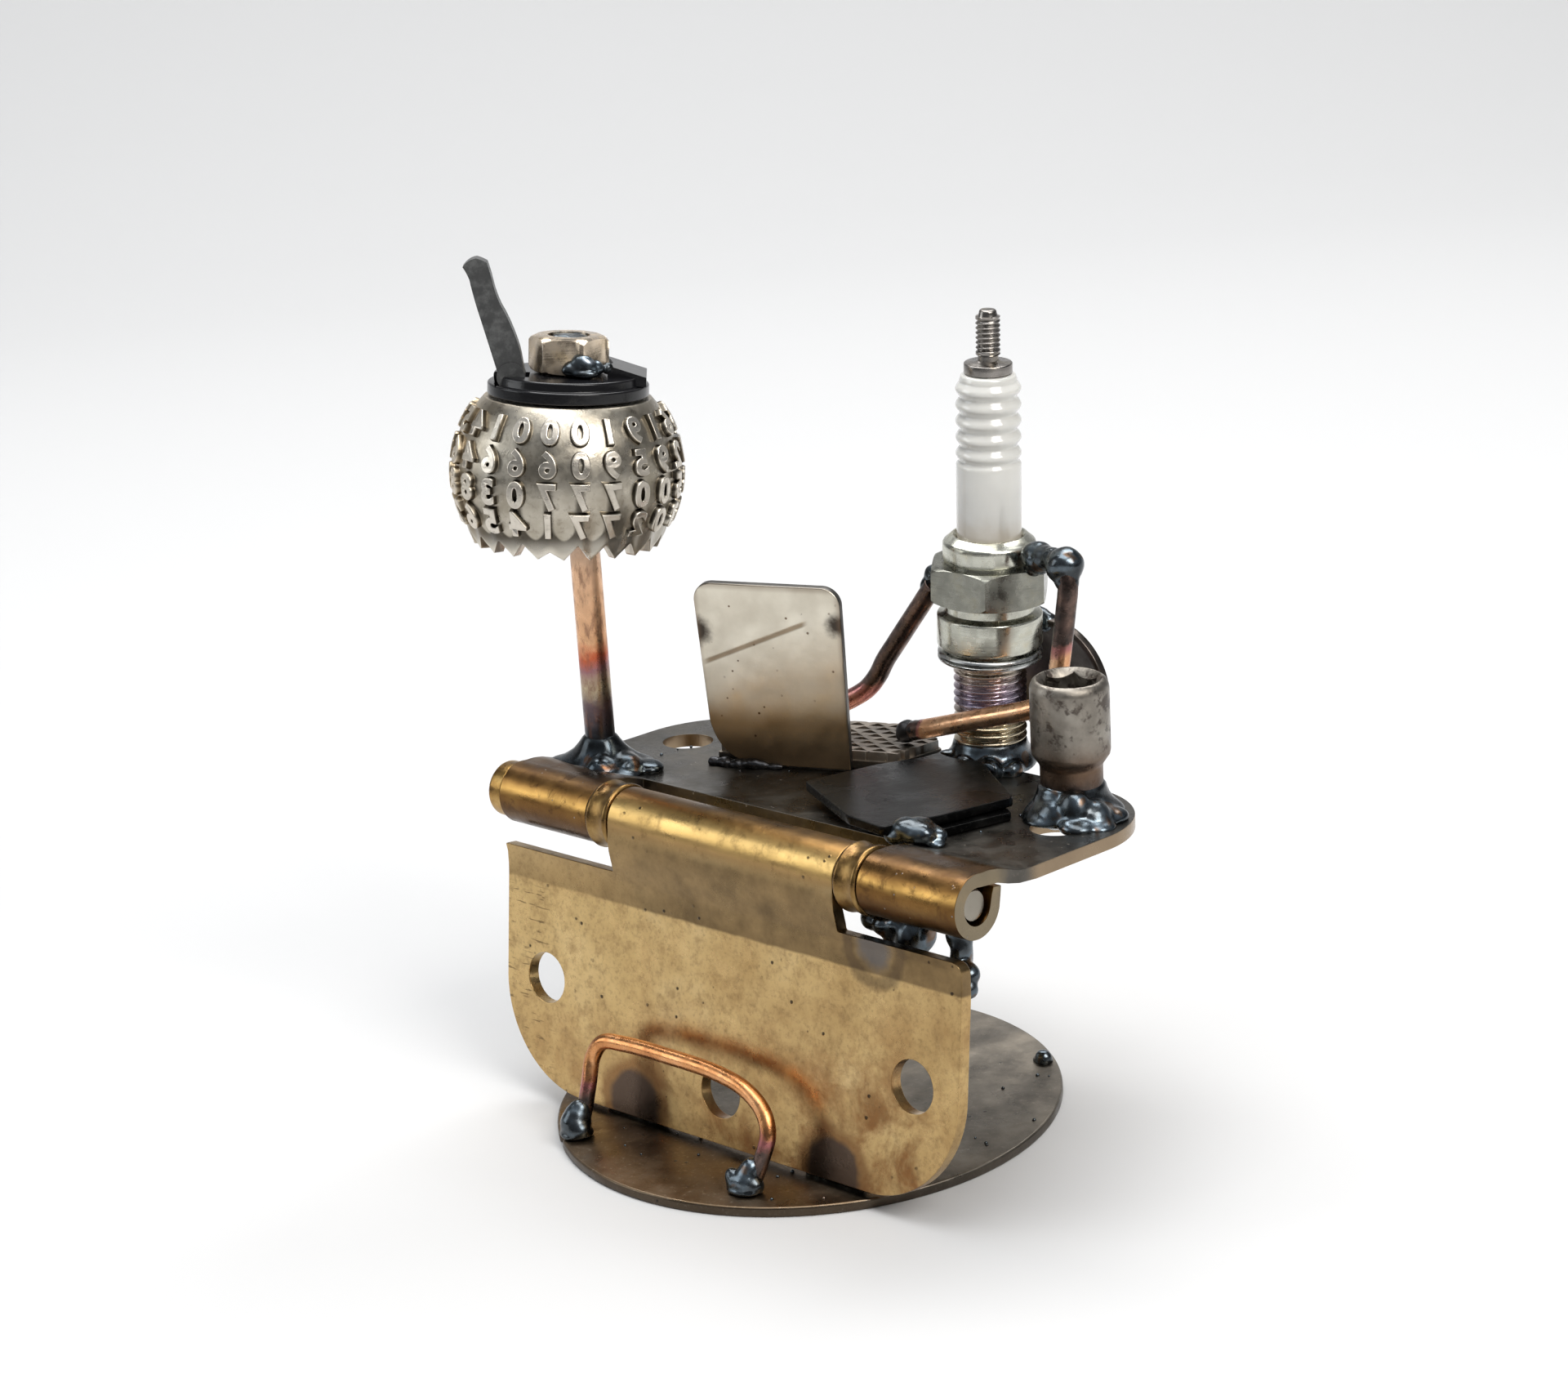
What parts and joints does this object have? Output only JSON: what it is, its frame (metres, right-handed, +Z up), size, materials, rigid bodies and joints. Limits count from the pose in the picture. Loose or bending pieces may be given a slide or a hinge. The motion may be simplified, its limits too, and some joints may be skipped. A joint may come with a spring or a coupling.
{
  "type": "welded desk sculpture",
  "caption": "Welded scrap-metal sculpture of a figure at a desk: butt hinge as desk, spark plug as figure, type ball as lamp.",
  "frame": {"origin": "centre of the round base's underside, on the surface that it stands on", "axes": "+Z up, +X along the hinge pin towards the mug, -Y is the side of the foot rail and the upright hinge leaf"},
  "size_m": [0.0961, 0.081, 0.1245],
  "materials": {
    "brass_plate": "worn brass plating with heat stains",
    "dark_brass": "plating burnt dark, brass left on the knuckles",
    "dark_steel": "dark oxide with spatter",
    "black_plate": "black oxide, pitted",
    "lid_steel": "scratched plate, heat-browned at the foot",
    "weld_metal": "glossy blue-black weld bead",
    "copper_rod": "copper-coated steel rod, heat-tinted",
    "nickel_ball": "satin nickel with raised characters",
    "zinc_steel": "bright zinc and nickel plating",
    "socket_steel": "worn, rust-stained socket steel",
    "white_ceramic": "glazed white ceramic",
    "black_plastic": "black moulded plastic"
  },
  "bodies": {
    "sculpture": {"base_disc": "dark_steel", "rim_spatter_bead": "weld_metal", "upright_leaf": "brass_plate", "desk_leaf": "dark_brass", "hinge_pin": "brass_plate", "bearing_ring_left": "brass_plate", "bearing_ring_right": "brass_plate", "lock_weld_inner": "weld_metal", "lock_weld_outer": "weld_metal", "foot_weld_left": "weld_metal", "foot_weld_right": "weld_metal", "foot_rail": "copper_rod", "foot_rail_weld_left": "weld_metal", "foot_rail_weld_right": "weld_metal", "lamp_post": "copper_rod", "lamp_post_weld": "weld_metal", "shade_ball": "nickel_ball", "shade_cap": "black_plastic", "lever_spring_clip": "zinc_steel", "lever_pivot_pin": "zinc_steel", "lamp_top_nut": "zinc_steel", "lamp_nut_fill_weld": "weld_metal", "lamp_nut_weld": "weld_metal", "laptop_lid": "lid_steel", "laptop_base": "dark_steel", "keyboard_mesh": "dark_steel", "lid_weld": "weld_metal", "desk_pad_lower": "black_plate", "desk_pad_upper": "black_plate", "desk_pad_weld": "weld_metal", "mug_socket": "socket_steel", "mug_weld": "weld_metal", "plug_shell": "zinc_steel", "plug_insulator": "white_ceramic", "plug_terminal_stud": "zinc_steel", "plug_resistor": "black_plate", "plug_center_electrode": "zinc_steel", "plug_weld": "weld_metal", "arm_right": "copper_rod", "arm_left": "copper_rod", "shoulder_weld_right": "weld_metal", "shoulder_weld_left": "weld_metal", "hand_weld_right": "weld_metal", "chair_back_disc": "dark_steel", "chair_weld": "weld_metal"},
    "lever": {"lamp_lever": "black_plastic"},
    "gasket": {"plug_gasket": "zinc_steel"}
  },
  "joints": [
    {"name": "lever_pivot", "type": "hinge", "parent": "sculpture", "child": "lever", "pos_m": [-0.037, -0.01014, 0.10636], "axis": [0.7113, -0.6969, 0.0918], "range_deg": [0, 20]},
    {"name": "gasket_spin", "type": "hinge", "parent": "sculpture", "child": "gasket", "pos_m": [0.01122, 0.0331, 0.06147], "axis": [0.0449, 0.0389, 0.9982], "continuous": true}
  ]
}
